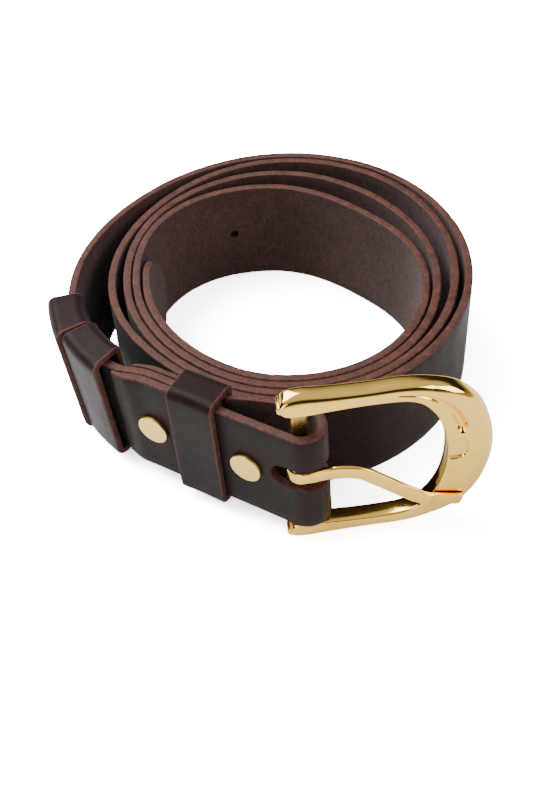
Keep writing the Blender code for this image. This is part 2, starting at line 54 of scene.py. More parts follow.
# Radius of the outer face at W, NW, N, NE, E, SE, S and SW, one row for each turn, from outside in.
COIL_RADII_MM = (
    (61.4, 60.9, 63.4, 64.4, 62.4, 58.0, 53.8, 49.9),
    (52.8, 55.3, 60.2, 61.0, 58.0, 54.9, 50.9, 47.0),
    (48.0, 52.3, 53.8, 51.6, 51.9, 51.8, 48.0, 44.0),
    (45.0, 49.3, 46.5, 43.0, 48.0, 48.8, 45.1, 41.1),
    (41.9, 45.4, 45.4),
)
RADIUS_BEFORE_COIL_MM = 68.6
COIL_START_DEG = -8.1
TIP_PAST_LAST_TURN_DEG = 28.0
TIP_LENGTH = 15.0 * MM
TIP_END_WIDTH = 7.0 * MM
HOLE_DIAMETER = 3.0 * MM
HOLES_FROM_TIP = (247.0 * MM, 120.0 * MM, 95.0 * MM, 70.0 * MM)

STRETCH_HEADING = math.radians(-33.5)
STRETCH_FACE_DISTANCE = 59.1 * MM
BAR_ALONG = 41.8 * MM
LIFT_AT_BAR = 7.2 * MM
CLIMB = math.radians(1.5)
SETTLE_LENGTH = 140.0 * MM
STRAP_END_TRAVEL = 25.0 * MM
LEAN = math.radians(4.0)
LEAN_STARTS, LEAN_FULL, LEAN_FADES, LEAN_ENDS = 48.0 * MM, 62.0 * MM, 100.0 * MM, 150.0 * MM

CHAPE_THICKNESS = 2.5 * MM
CHAPE_BACK_THICKNESS = 1.8 * MM
CHAPE_FRONT_END = 60.4 * MM
CHAPE_BACK_END = 55.0 * MM
SKIVE_LENGTH = 6.0 * MM
SKIVED_THICKNESS = 1.0 * MM
FOLD_RADIUS = 7.0 * MM
WEDGE_START = 23.2 * MM
SLOT_END_TRAVEL = 7.2 * MM
SLOT_WIDTH = 8.6 * MM
SLOT_HEIGHT = 20.9 * MM

KEEPER_WALL = 2.2 * MM
KEEPER_BACK_WALL = 1.6 * MM
KEEPER_CORNER = 0.9 * MM
KEEPER_SIDE_ROOM = 0.2 * MM
FIXED_KEEPER_SPAN = (23.8 * MM, 39.0 * MM)
# Span of each sliding keeper along the strap, and the room in it behind the strap and in front of it.
SLIDING_KEEPERS = {
    "near": ((62.4 * MM, 77.1 * MM), 2.7 * MM, 2.3 * MM),
    "far": ((77.7 * MM, 91.9 * MM), 1.3 * MM, 3.7 * MM),
}

SCREW_TRAVELS = (15.2 * MM, 47.2 * MM)
CAP_DIAMETER = 10.0 * MM
CAP_HEIGHT = 1.2 * MM
CAP_ROUND = 0.42 * MM
BARREL_DIAMETER = 5.0 * MM

FRAME_HEADING = math.radians(4.0)
FRAME_HALF_HEIGHT = 30.4 * MM
FRAME_DEPTH = 5.8 * MM
# How far the frame's middle stands in front of the heel bar's axis.
FRAME_AHEAD = 1.6 * MM
FRAME_EDGES_MM = (
    ((-5.2, 27.9), (-5.2, 25.6)),
    ((-3.4, 29.7), (-3.4, 23.9)),
    ((0.6, 30.4), (0.6, 23.4)),
    ((8.0, 29.7), (8.0, 23.9)),
    ((18.0, 29.3), (18.0, 24.3)),
    ((28.0, 29.4), (27.5, 23.9)),
    ((36.0, 28.1), (32.8, 22.0)),
    ((43.6, 24.9), (36.6, 17.4)),
    ((49.6, 18.2), (38.9, 12.0)),
    ((53.0, 9.2), (40.2, 6.0)),
    ((54.1, 0.0), (40.6, 0.0)),
)
BAR_WIDTH = 4.6 * MM
BAR_DEPTH = 2.4 * MM
BAR_BEHIND_FACE = 5.4 * MM
# Cast decoration on the front of the nose, as (x, z) in the buckle's plane.
CRESCENT_LINE_MM = ((26.5, 26.6), (33.9, 24.8), (39.1, 20.8), (42.4, 16.0), (44.2, 11.4), (44.6, 9.6))
CRESCENT_HALF_WIDTH_MM = 2.2
CRESCENT_DEPTH = 1.5 * MM
REST_LENGTH_MM = 5.8
REST_HALF_WIDTH_MM = 3.9
REST_CORNER_MM = 2.2
REST_HEIGHT_MM = 1.4
REST_DEPTH = 1.0 * MM

TONGUE_LOOP_BORE = 3.0 * MM
TONGUE_CURL_DEG = 300.0
TONGUE_THICKNESS = 1.8 * MM
TONGUE_WIDTH = 4.6 * MM
TONGUE_HEIGHT = 20.8 * MM
TONGUE_LINE_MM = (
    (2.0, 0.0), (9.0, 1.2), (16.0, 0.1), (21.0, -3.6), (29.4, -10.5), (35.5, -15.0), (44.2, -17.4),
)
# Where the tongue starts to come forward from its loop, and where it has passed in front of the frame's face.
TONGUE_FORWARD_START, TONGUE_FORWARD_END = 4.0 * MM, 28.0 * MM
# Places on the tongue's line, counted in its points, between which it steps down to its thinner tip.
TONGUE_STEP_DOWN = (5.05, 5.2)
TONGUE_TIP_SHARE = 0.62
TIP_CHAMFER = 1.6 * MM


# ---------------------------------------------------------------- path of the strap


def mix(a, b, share):
    return a + (b - a) * share


def smooth(value, start, end):
    share = min(max((value - start) / (end - start), 0.0), 1.0)
    return share * share * (3.0 - 2.0 * share)


def curve_point(points, place):
    """Catmull-Rom curve through a list of values or vectors; place counts points."""
    last = len(points) - 1
    index = min(int(place), last - 1)
    share = place - index
    p0, p1 = points[max(index - 1, 0)], points[index]
    p2, p3 = points[index + 1], points[min(index + 2, last)]
    a = (p2 - p0) * 0.5
    b = (p3 - p1) * 0.5
    square, cube = share * share, share * share * share
    return (
        p1 * (2 * cube - 3 * square + 1) + a * (cube - 2 * square + share)
        + p2 * (3 * square - 2 * cube) + b * (cube - square)
    )


ALONG = Vector((math.cos(STRETCH_HEADING), math.sin(STRETCH_HEADING), 0.0))
FACING = Vector((math.sin(STRETCH_HEADING), -math.cos(STRETCH_HEADING), 0.0))


def coil_plan(winding_deg):
    radii = [RADIUS_BEFORE_COIL_MM * MM] + [radius * MM for row in COIL_RADII_MM for radius in row]
    radius = curve_point(radii, 1.0 + winding_deg / 45.0)
    angle = math.pi - math.radians(winding_deg)
    return Vector((radius * math.cos(angle), radius * math.sin(angle), 0.0))


COIL_START = coil_plan(COIL_START_DEG)
BEND_RADIUS = (STRETCH_FACE_DISTANCE - FACING.dot(COIL_START)) / (1.0 + FACING.x)
BEND_CENTRE = COIL_START + Vector((BEND_RADIUS, 0.0, 0.0))
BEND_START = BAR_ALONG - ALONG.dot(BEND_CENTRE)
BEND_ANGLE = math.pi + math.atan2(FACING.y, FACING.x)
BEND_END = BEND_START + BEND_RADIUS * BEND_ANGLE


def lift(travel):
    straight = LIFT_AT_BAR - math.tan(CLIMB) * min(travel, BEND_START)
    return straight * (1.0 - smooth(travel, BEND_START, BEND_START + SETTLE_LENGTH))


def lean(travel):
    return LEAN * (smooth(travel, LEAN_STARTS, LEAN_FULL) - smooth(travel, LEAN_FADES, LEAN_ENDS))


class Station:
    """A place on the strap: its outer face's lower edge, and unit vectors forward, outward and across."""

    def __init__(self, plan, forward, travel):
        slope = (lift(travel + MM) - lift(travel - MM)) / (2 * MM)
        level_out = Vector((forward.y, -forward.x, 0.0))
        if level_out.dot(plan) < 0:
            level_out.negate()
        self.travel = travel
        self.forward = (forward + UP * slope).normalized()
        across = (UP - self.forward * UP.dot(self.forward)).normalized()
        tilt = lean(travel)
        self.across = across * math.cos(tilt) + level_out * math.sin(tilt)
        self.out = level_out * math.cos(tilt) - across * math.sin(tilt)
        self.origin = Vector((plan.x, plan.y, lift(travel))) + COIL_CENTRE

    def at(self, out, across):
        return self.origin + self.out * out + self.across * across


def lead_station(travel):
    """Station between the buckle and the coil."""
    if travel <= BEND_START:
        plan = FACING * STRETCH_FACE_DISTANCE + ALONG * (BAR_ALONG - travel)
        return Station(plan, -ALONG, travel)
    angle = math.atan2(FACING.y, FACING.x) - (travel - BEND_START) / BEND_RADIUS
    outward = Vector((math.cos(angle), math.sin(angle), 0.0))
    return Station(BEND_CENTRE + outward * BEND_RADIUS, Vector((outward.y, -outward.x, 0.0)), travel)


def strap_stations(lead_step, coil_step_deg):
    stations = []
    travel = STRAP_END_TRAVEL
    while travel < BEND_END - lead_step / 2:
        stations.append(lead_station(travel))
        travel += lead_step
    last_winding = 360.0 * (len(COIL_RADII_MM) - 1) + TIP_PAST_LAST_TURN_DEG
    travel = BEND_END
    winding = COIL_START_DEG
    before = COIL_START
    while winding <= last_winding + 0.01:
        plan = coil_plan(winding)
        travel += (plan - before).length
        before = plan
        forward = (coil_plan(winding + 0.5) - coil_plan(winding - 0.5)).normalized()
        stations.append(Station(plan, forward, travel))
        winding += coil_step_deg if winding < last_winding - 20.0 else coil_step_deg / 3
    return stations


# ---------------------------------------------------------------- node helpers


class Nodes:
    """A material's node tree, filled by short calls."""

    def __init__(self, name):
        self.material = bpy.data.materials.new(name)
        self.material.use_nodes = True
        self.tree = self.material.node_tree
        self.shader = self.tree.nodes["Principled BSDF"]

    def add(self, kind, **settings):
        node = self.tree.nodes.new(kind)
        for key, value in settings.items():
            setattr(node, key, value)
        return node

    def link(self, a, b):
        self.tree.links.new(a, b)

    def coords(self, scale=(1.0, 1.0, 1.0), uv=False):
        source = self.add("ShaderNodeTexCoord").outputs["UV" if uv else "Object"]
        mapping = self.add("ShaderNodeMapping")
        mapping.inputs["Scale"].default_value = scale
        self.link(source, mapping.inputs["Vector"])
        return mapping.outputs["Vector"]

    def noise(self, scale, detail=3.0, rough=0.5, vector=None, distortion=0.0):
        node = self.add("ShaderNodeTexNoise")
        node.inputs["Scale"].default_value = scale
        node.inputs["Detail"].default_value = detail
        node.inputs["Roughness"].default_value = rough
        node.inputs["Distortion"].default_value = distortion
        self.link(vector or self.coords(), node.inputs["Vector"])
        return node.outputs["Fac"]

    def cells(self, scale, vector):
        node = self.add("ShaderNodeTexVoronoi", feature="DISTANCE_TO_EDGE")
        node.inputs["Scale"].default_value = scale
        self.link(vector, node.inputs["Vector"])
        return node.outputs["Distance"]

    def ramp(self, value, stops):
        node = self.add("ShaderNodeValToRGB")
        ramp = node.color_ramp
        while len(ramp.elements) < len(stops):
            ramp.elements.new(0.5)
        for element, (place, colour) in zip(ramp.elements, stops):
            element.position = place
            element.color = (*colour, 1.0)
        self.link(value, node.inputs["Fac"])
        return node.outputs["Color"]

    def span(self, value, low, high, to_low, to_high):
        node = self.add("ShaderNodeMapRange")
        for name, number in (("From Min", low), ("From Max", high), ("To Min", to_low), ("To Max", to_high)):
            node.inputs[name].default_value = number
        self.link(value, node.inputs["Value"])
        return node.outputs["Result"]

    def blend(self, factor, a, b):
        node = self.add("ShaderNodeMix", data_type="RGBA")
        for socket, value in zip((node.inputs[0], node.inputs[6], node.inputs[7]), (factor, a, b)):
            if isinstance(value, tuple):
                socket.default_value = (*value, 1.0)
            else:
                self.link(value, socket)
        return node.outputs[2]

    def bump(self, height, distance, strength, under=None):
        node = self.add("ShaderNodeBump")
        node.inputs["Strength"].default_value = strength
        node.inputs["Distance"].default_value = distance
        self.link(height, node.inputs["Height"])
        if under is not None:
            self.link(under, node.inputs["Normal"])
        return node.outputs["Normal"]

    def done(self, colour, roughness, normal, **constants):
        for name, value in (("Base Color", colour), ("Roughness", roughness), ("Normal", normal)):
            if isinstance(value, float):
                self.shader.inputs[name].default_value = value
            else:
                self.link(value, self.shader.inputs[name])
        for name, value in constants.items():
            self.shader.inputs[name.replace("_", " ")].default_value = value
        return self.material


def grain_leather(name, dark, light, shine):
    """Smooth full-grain leather: fine pores, faint creases along the strap and a soft sheen."""
    n = Nodes(name)
    cloud = n.noise(38.0, 4.0, 0.6)
    colour = n.ramp(cloud, ((0.30, dark), (0.72, light)))
    mottle = n.noise(420.0, 3.0, 0.6)
    colour = n.blend(n.span(mottle, 0.35, 0.7, 0.0, 0.35), colour, tuple(c * 0.55 for c in dark))
    pores = n.cells(1500.0, n.coords((1.0, 1.0, 1.25)))
    pebble = n.span(pores, 0.0, 0.22, 0.0, 1.0)
    fine = n.noise(5200.0, 2.0, 0.6)
    creases = n.noise(230.0, 4.0, 0.65, n.coords((1.0, 1.0, 2.6)), 0.6)
    normal = n.bump(pebble, 0.00003, 0.30)
    normal = n.bump(fine, 0.00003, 0.20, normal)
    normal = n.bump(creases, 0.00018, 0.30, normal)
    scuffs = n.noise(120.0, 5.0, 0.7, n.coords((1.0, 1.0, 0.35)))
    roughness = n.span(scuffs, 0.3, 0.75, shine - 0.06, shine + 0.12)
    return n.done(colour, roughness, normal, Specular_IOR_Level=0.07, Sheen_Weight=0.06, Sheen_Roughness=0.5)


def flesh_leather(name, dark, light):
    """Back of the hide: short fibres, mottled and without shine."""
    n = Nodes(name)
    fibre = n.noise(900.0, 5.0, 0.75, n.coords((1.0, 1.0, 0.45)), 1.4)
    patch = n.noise(160.0, 4.0, 0.65)
    between = tuple((a + b) / 2 for a, b in zip(dark, light))
    colour = n.ramp(fibre, ((0.32, dark), (0.50, between), (0.70, light)))
    colour = n.blend(n.span(patch, 0.35, 0.65, 0.0, 0.45), colour, dark)
    fuzz = n.noise(2600.0, 4.0, 0.8, None, 2.0)
    normal = n.bump(fibre, 0.0004, 0.75)
    normal = n.bump(fuzz, 0.00022, 0.6, normal)
    return n.done(colour, 0.92, normal, Specular_IOR_Level=0.22, Sheen_Weight=0.10, Sheen_Roughness=0.6)


def edge_leather(name, dark, light):
    """Cut edge: layered fibres along the strap, waxed in places."""
    n = Nodes(name)
    layers = n.noise(1.0, 4.0, 0.7, n.coords((700.0, 2600.0, 1.0), uv=True), 0.4)
    patch = n.noise(260.0, 5.0, 0.7)
    colour = n.ramp(layers, ((0.30, dark), (0.62, light)))
    colour = n.blend(n.span(patch, 0.38, 0.66, 0.0, 0.7), colour, dark)
    specks = n.noise(2100.0, 3.0, 0.7)
    normal = n.bump(layers, 0.00022, 0.6)
    normal = n.bump(specks, 0.0002, 0.5, normal)
    roughness = n.span(patch, 0.3, 0.7, 0.72, 0.5)
    return n.done(colour, roughness, normal, Specular_IOR_Level=0.32)


def gold_metal(name, base, dark, rough_low, rough_high, wave):
    """Plated casting: nearly mirror bright, with slight waves in its polish, faint haze and hairlines."""
    n = Nodes(name)
    haze = n.noise(140.0, 4.0, 0.6)
    colour = n.blend(n.span(haze, 0.35, 0.75, 0.0, 0.35), base, dark)
    hair = n.noise(900.0, 3.0, 0.6, n.coords((0.12, 1.0, 3.0)), 0.8)
    swell = n.noise(75.0, 2.0, 0.4)
    normal = n.bump(swell, wave, 0.5)
    normal = n.bump(hair, 0.000012, 0.25, normal)
    roughness = n.span(haze, 0.3, 0.75, rough_low, rough_high)
    return n.done(colour, roughness, normal, Metallic=1.0)


def drawn_steel(name):
    """Wire with fine lines drawn along it."""
    n = Nodes(name)
    lines = n.noise(1800.0, 3.0, 0.6, n.coords((1.0, 1.0, 0.1)))
    colour = n.ramp(lines, ((0.3, (0.36, 0.35, 0.34)), (0.7, (0.58, 0.57, 0.56))))
    roughness = n.span(lines, 0.3, 0.7, 0.28, 0.45)
    return n.done(colour, roughness, n.bump(lines, 0.00002, 0.4), Metallic=1.0)


GRAIN_DARK, GRAIN_LIGHT = (0.0075, 0.0022, 0.0020), (0.0150, 0.0052, 0.0047)
FLESH_DARK, FLESH_LIGHT = (0.012, 0.0028, 0.0018), (0.085, 0.028, 0.018)
EDGE_DARK, EDGE_LIGHT = (0.012, 0.0032, 0.0022), (0.125, 0.038, 0.022)
GRAIN = grain_leather("grain_side", GRAIN_DARK, GRAIN_LIGHT, 0.40)
KEEPER_GRAIN = grain_leather("keeper_grain", GRAIN_DARK, tuple(c * 1.15 for c in GRAIN_LIGHT), 0.36)
FLESH = flesh_leather("flesh_side", FLESH_DARK, FLESH_LIGHT)
EDGE = edge_leather("cut_edge", EDGE_DARK, EDGE_LIGHT)
GOLD = gold_metal("gold_plate", (1.0, 0.66, 0.14), (1.0, 0.54, 0.07), 0.07, 0.13, 0.00010)
BAR_GOLD = gold_metal("bar_gold", (0.60, 0.38, 0.12), (0.42, 0.24, 0.06), 0.22, 0.36, 0.00006)
CAP_GOLD = gold_metal("cap_gold", (1.0, 0.68, 0.20), (0.95, 0.58, 0.13), 0.26, 0.36, 0.00004)
STEEL = drawn_steel("staple_steel")
LEATHERS = (GRAIN, EDGE, FLESH)
GRAIN_SLOT, EDGE_SLOT, FLESH_SLOT = 0, 1, 2
SHARP_DEG = 35.0


# ---------------------------------------------------------------- mesh helpers


def new_object(name, bm, materials, sharp_deg=SHARP_DEG):
    bmesh.ops.recalc_face_normals(bm, faces=bm.faces)
    mesh = bpy.data.meshes.new(name)
    bm.to_mesh(mesh)
    bm.free()
    mesh.shade_smooth()
    mesh.set_sharp_from_angle(angle=math.radians(sharp_deg))
    for material in materials:
        mesh.materials.append(material)
    obj = bpy.data.objects.new(name, mesh)
    bpy.context.scene.collection.objects.link(obj)
    return obj


def skin(rings, slots=None, coords=None, closed=False):
    """Skin over rings of points. slots gives each segment's material, coords each point's (u, v)."""
    bm = bmesh.new()
    uv = bm.loops.layers.uv.new("path")
    rows = [[bm.verts.new(point) for point in ring] for ring in rings]
    count = len(rows[0])
    total = len(rows) if closed else len(rows) - 1
    for k in range(total):
        after = (k + 1) % len(rows)
        row, following = rows[k], rows[after]
        for i in range(count):
            j = (i + 1) % count
            face = bm.faces.new((row[i], row[j], following[j], following[i]))
            if slots is not None:
                face.material_index = slots[i]
            if coords is not None:
                places = (coords[k][i], coords[k][j], coords[after][j], coords[after][i])
                for loop, place in zip(face.loops, places):
                    loop[uv].uv = place
    if not closed:
        for row in (rows[0], rows[-1]):
            face = bm.faces.new(row)
            face.material_index = EDGE_SLOT if slots is not None else 0
    return bm


def cutter(name, bm, materials):
    obj = new_object(name, bm, materials)
    obj.hide_render = True
    obj.display_type = "WIRE"
    return obj


def cut(target, other):
    modifier = target.modifiers.new(other.name, "BOOLEAN")
    modifier.operation = "DIFFERENCE"
    modifier.solver = "EXACT"
    modifier.material_mode = "TRANSFER"
    modifier.object = other


def apply_modifiers(obj):
    """Turns the object's cuts into mesh and removes the cutters."""
    graph = bpy.context.evaluated_depsgraph_get()
    mesh = bpy.data.meshes.new_from_object(obj.evaluated_get(graph))
    helpers = [modifier.object for modifier in obj.modifiers if modifier.type == "BOOLEAN"]
    obj.modifiers.clear()
    obj.data = mesh
    for helper in helpers:
        bpy.data.objects.remove(helper, do_unlink=True)
    mesh.set_sharp_from_angle(angle=math.radians(SHARP_DEG))


def cylinder(bm, centre, axis, diameter, length):
    turn = UP.rotation_difference(axis).to_matrix().to_4x4()
    bmesh.ops.create_cone(
        bm, cap_ends=True, segments=32, radius1=diameter / 2, radius2=diameter / 2, depth=length,
        matrix=Matrix.Translation(centre) @ turn,
    )


def turned(profile, centre, axis):
    """Solid of revolution. profile lists (radius, height) from the bottom of the axis to its top."""
    sides = 72
    turn = UP.rotation_difference(axis).to_matrix()
    bm = bmesh.new()
    rows = []
    for radius, height in profile:
        if radius == 0.0:
            rows.append([bm.verts.new(centre + turn @ Vector((0.0, 0.0, height)))])
            continue
        row = []
        for k in range(sides):
            angle = 2 * math.pi * k / sides
            place = Vector((radius * math.cos(angle), radius * math.sin(angle), height))
            row.append(bm.verts.new(centre + turn @ place))
        rows.append(row)
    for row, following in zip(rows, rows[1:]):
        for k in range(sides):
            j = (k + 1) % sides
            corners = [row[k % len(row)], row[j % len(row)], following[j % len(following)],
                       following[k % len(following)]]
            bm.faces.new(list(dict.fromkeys(corners)))
    return bm


# ---------------------------------------------------------------- leather


EDGE_STEPS = 4
FACE_STEPS = 10
GRAIN_BEVEL = 0.55 * MM
FLESH_BEVEL = 0.30 * MM


def strip_section(outer, inner, low, high):
    """Section of a strip with rounded edges, as (out, across, slot): grain at outer, flesh at inner."""
    thickness = abs(outer - inner)
    grain = min(GRAIN_BEVEL, thickness * 0.4, (high - low) * 0.2)
    flesh = min(FLESH_BEVEL, thickness * 0.3, (high - low) * 0.2)
    points = []
    for step in range(FACE_STEPS):
        points.append((outer, mix(low + grain, high - grain, step / FACE_STEPS), GRAIN_SLOT))
    turns = [math.pi / 2 * step / EDGE_STEPS for step in range(EDGE_STEPS + 1)]
    for turn in turns:
        across = high - grain + grain * math.sin(turn)
        points.append((outer - grain + grain * math.cos(turn), across, EDGE_SLOT))
    for turn in turns:
        across = high - flesh + flesh * math.cos(turn)
        points.append((inner + flesh - flesh * math.sin(turn), across, EDGE_SLOT))
    points[-1] = (*points[-1][:2], FLESH_SLOT)
    for step in range(1, FACE_STEPS):
        points.append((inner, mix(high - flesh, low + flesh, step / FACE_STEPS), FLESH_SLOT))
    for turn in turns:
        across = low + flesh - flesh * math.sin(turn)
        points.append((inner + flesh - flesh * math.cos(turn), across, EDGE_SLOT))
    for turn in turns:
        across = low + grain - grain * math.cos(turn)
        points.append((outer - grain + grain * math.sin(turn), across, EDGE_SLOT))
    points[-1] = (*points[-1][:2], GRAIN_SLOT)
    return points


def unevenness(place, travel):
    """Slow waves of the leather, a tenth of a millimetre or so."""
    return noise.noise(Vector((travel * 28.0, place * 30.0, 3.7))) * 0.12 * MM


def build_strap():
    """The long strip, from under the chape to its tip inside the coil, with its holes."""
    stations = strap_stations(1.5 * MM, 1.5)
    tip_travel = stations[-1].travel
    rings, coords, slots = [], [], None
    middle = STRAP_WIDTH / 2
    for station in stations:
        left = tip_travel - station.travel
        half = middle
        if left < TIP_LENGTH:
            share = 1.0 - left / TIP_LENGTH
            half = mix(TIP_END_WIDTH / 2, middle, math.sqrt(max(1.0 - share * share, 0.0)))
        half -= 0.08 * MM * (1.0 + noise.noise(Vector((station.travel * 60.0, 0.0, 9.0))))
        section = strip_section(0.0, -STRAP_THICKNESS, middle - half, middle + half)
        slots = [slot for _, _, slot in section]
        ring, places = [], []
        for out, across, _ in section:
            wave = unevenness(across, station.travel)
            ring.append(station.at(out + wave * 0.6, across))
            places.append((station.travel, across + out))
        rings.append(ring)
        coords.append(places)
    strap = new_object("strap_leather", skin(rings, slots, coords), LEATHERS)
    holes = bmesh.new()
    for distance in HOLES_FROM_TIP:
        station = min(stations, key=lambda one: abs(tip_travel - distance - one.travel))
        cylinder(holes, station.at(-STRAP_THICKNESS / 2, middle), station.out, HOLE_DIAMETER,
                 STRAP_THICKNESS + 2 * MM)
    far_screw = lead_station(SCREW_TRAVELS[1])
    cylinder(holes, far_screw.at(-STRAP_THICKNESS / 2, middle), far_screw.out, BARREL_DIAMETER + 2 * GAP,
             STRAP_THICKNESS + 2 * MM)
    cut(strap, cutter("strap_holes", holes, (EDGE,)))
    apply_modifiers(strap)
    return strap


def back_leg_inner(travel):
    """Offset of the back leg's inner face: on the strap's end, then swinging out to go round the bar."""
    resting = -(STRAP_THICKNESS + GAP)
    at_bar = CHAPE_THICKNESS + GAP - 2 * FOLD_RADIUS + CHAPE_THICKNESS
    share = min(max((WEDGE_START - travel) / WEDGE_START, 0.0), 1.0)
    return mix(resting, at_bar, math.sin(share * math.pi / 2))


def skived(thickness, travel, end):
    return mix(SKIVED_THICKNESS, thickness, min((end - travel) / SKIVE_LENGTH, 1.0))


def build_chape():
    """One strip: front leg with its skived end, the fold round the heel bar and the back leg."""
    rings, coords, slots = [], [], None
    count = 42
    for step in range(count):
        travel = CHAPE_FRONT_END * (1.0 - step / count)
        thickness = skived(CHAPE_THICKNESS, travel, CHAPE_FRONT_END)
        section = strip_section(GAP + thickness, GAP, 0.0, STRAP_WIDTH)
        slots = [slot for _, _, slot in section]
        ring, places = [], []
        near_end = smooth(travel, CHAPE_FRONT_END - 9 * MM, CHAPE_FRONT_END)
        for out, across, _ in section:
            # The skived end was cut by hand, so it wanders a little.
            wander = noise.noise(Vector((across * 150.0, 1.5, 0.0))) * 0.7 * MM - 0.5 * MM
            station = lead_station(travel + wander * near_end)
            ring.append(station.at(out + unevenness(across, travel) * 0.5, across))
            places.append((travel, across + out))
        rings.append(ring)
        coords.append(places)
    bar = lead_station(0.0)
    middle = CHAPE_THICKNESS + GAP - FOLD_RADIUS
    arc = 28
    for step in range(arc + 1):
        angle = math.pi * step / arc
        ring, places = [], []
        for out, across, _ in strip_section(CHAPE_THICKNESS, 0.0, 0.0, STRAP_WIDTH):
            radius = FOLD_RADIUS - CHAPE_THICKNESS + out
            ring.append(bar.at(middle + radius * math.cos(angle), across)
                        - bar.forward * (radius * math.sin(angle)))
            places.append((-angle * FOLD_RADIUS, across + out))
        rings.append(ring)
        coords.append(places)
    back = 38
    for step in range(1, back + 1):
        travel = CHAPE_BACK_END * step / back
        thickness = mix(CHAPE_THICKNESS, CHAPE_BACK_THICKNESS, smooth(travel, 0.0, WEDGE_START))
        thickness = skived(thickness, travel, CHAPE_BACK_END)
        inner = back_leg_inner(travel)
        station = lead_station(travel)
        ring, places = [], []
        for out, across, _ in strip_section(thickness, 0.0, 0.0, STRAP_WIDTH):
            ring.append(station.at(inner - out, across))
            places.append((-travel - 20 * MM, across + out))
        rings.append(ring)
        coords.append(places)
    chape = new_object("chape_leather", skin(rings, slots, coords), LEATHERS)

    cuts = bmesh.new()
    for travel in SCREW_TRAVELS:
        station = lead_station(travel)
        cylinder(cuts, station.at(0.0, STRAP_WIDTH / 2), station.out, BARREL_DIAMETER + 2 * GAP, 40 * MM)
    cut(chape, cutter("chape_screw_holes", cuts, (EDGE,)))
    outline = []
    radius = SLOT_WIDTH / 2
    for step in range(25):
        angle = math.pi / 2 + math.pi * step / 24
        outline.append((SLOT_END_TRAVEL - radius - radius * math.cos(angle), radius * math.sin(angle)))
    outline += [(-12 * MM, -radius), (-12 * MM, radius)]
    rings = []
    for out in (8 * MM, -16 * MM):
        rings.append([bar.at(out, SLOT_HEIGHT + height) + bar.forward * along for along, height in outline])
    cut(chape, cutter("chape_slot", skin(rings), (EDGE,)))
    apply_modifiers(chape)
    return chape


def loop_path(low_out, high_out, low_across, high_across, radius):
    """Closed path round a rounded rectangle, as (point, outward normal) in (out, across)."""
    path = []
    corners = (
        (high_out - radius, high_across - radius, 0.0), (low_out + radius, high_across - radius, 90.0),
        (low_out + radius, low_across + radius, 180.0), (high_out - radius, low_across + radius, 270.0),
    )
    per_corner, per_side = 9, 10
    for out, across, start in corners:
        for step in range(per_corner):
            angle = math.radians(start + 90.0 * step / (per_corner - 1))
            normal = Vector((math.cos(angle), math.sin(angle)))
            path.append((Vector((out, across)) + normal * radius, normal))
    full = []
    for index, (point, normal) in enumerate(path):
        full.append((point, normal))
        following = path[(index + 1) % len(path)]
        if (index + 1) % per_corner == 0:
            for step in range(1, per_side):
                full.append((point.lerp(following[0], step / per_side), normal))
    return full


def build_keeper(name, span, inside_low, inside_high, seed):
    """A loop of leather with rounded raw edges, a little pulled in across its middle."""
    margin = GAP + KEEPER_SIDE_ROOM
    path = loop_path(inside_low, inside_high, -margin, STRAP_WIDTH + margin, KEEPER_CORNER)
    width = span[1] - span[0]
    rings, coords, slots = [], [], None
    length = 0.0
    for index, (point, normal) in enumerate(path):
        if index:
            length += (point - path[index - 1][0]).length
        wall = mix(KEEPER_BACK_WALL, KEEPER_WALL, smooth(normal.x, -0.3, 0.3))
        if abs(normal.y) > 0.5:
            wall = KEEPER_WALL
        section = strip_section(wall, 0.0, 0.0, width)
        slots = [slot for _, _, slot in section]
        ring, places = [], []
        for out, along, _ in section:
            ripple = noise.noise(Vector((length * 40.0, along * 60.0, seed))) * 0.16 * MM
            on_face = out > wall * 0.6
            hollow = -0.25 * MM * math.sin(math.pi * along / width) * max(normal.x, 0.0) * on_face
            wander = noise.noise(Vector((length * 90.0, seed, along * 20.0))) * 0.12 * MM
            place = point + normal * (out + hollow + ripple * on_face * 0.6)
            station = lead_station(span[0] + min(max(along + wander, 0.0), width))
            ring.append(station.at(place.x, place.y))
            places.append((length, along + out))
        rings.append(ring)
        coords.append(places)
    bm = skin(rings, slots, coords, closed=True)
    return new_object(name, bm, (KEEPER_GRAIN, EDGE, FLESH))


# ---------------------------------------------------------------- metal


def build_cap(name, travel, end_out):
    """Front cap of a Chicago screw, with its barrel."""
    station = lead_station(travel)
    front = CHAPE_THICKNESS + 2 * GAP
    radius, barrel = CAP_DIAMETER / 2, BARREL_DIAMETER / 2
    bore = 1.7 * MM
    depth = front - end_out
    profile = [(0.0, -depth * 0.85), (bore, -depth * 0.85), (bore, -depth), (barrel, -depth), (barrel, 0.0)]
    profile += [(radius - 0.10 * MM, 0.0), (radius, 0.10 * MM), (radius, CAP_HEIGHT - CAP_ROUND)]
    for step in range(1, 6):
        angle = math.pi / 2 * step / 5
        height = CAP_HEIGHT - CAP_ROUND * (1 - math.sin(angle))
        profile.append((radius - CAP_ROUND * (1 - math.cos(angle)), height))
    profile += [(radius * 0.7, CAP_HEIGHT - 0.01 * MM), (radius * 0.35, CAP_HEIGHT - 0.03 * MM)]
    profile.append((0.0, CAP_HEIGHT - 0.04 * MM))
    centre = station.at(front, STRAP_WIDTH / 2)
    return new_object(name, turned(profile, centre, station.out), (CAP_GOLD,), 40.0)


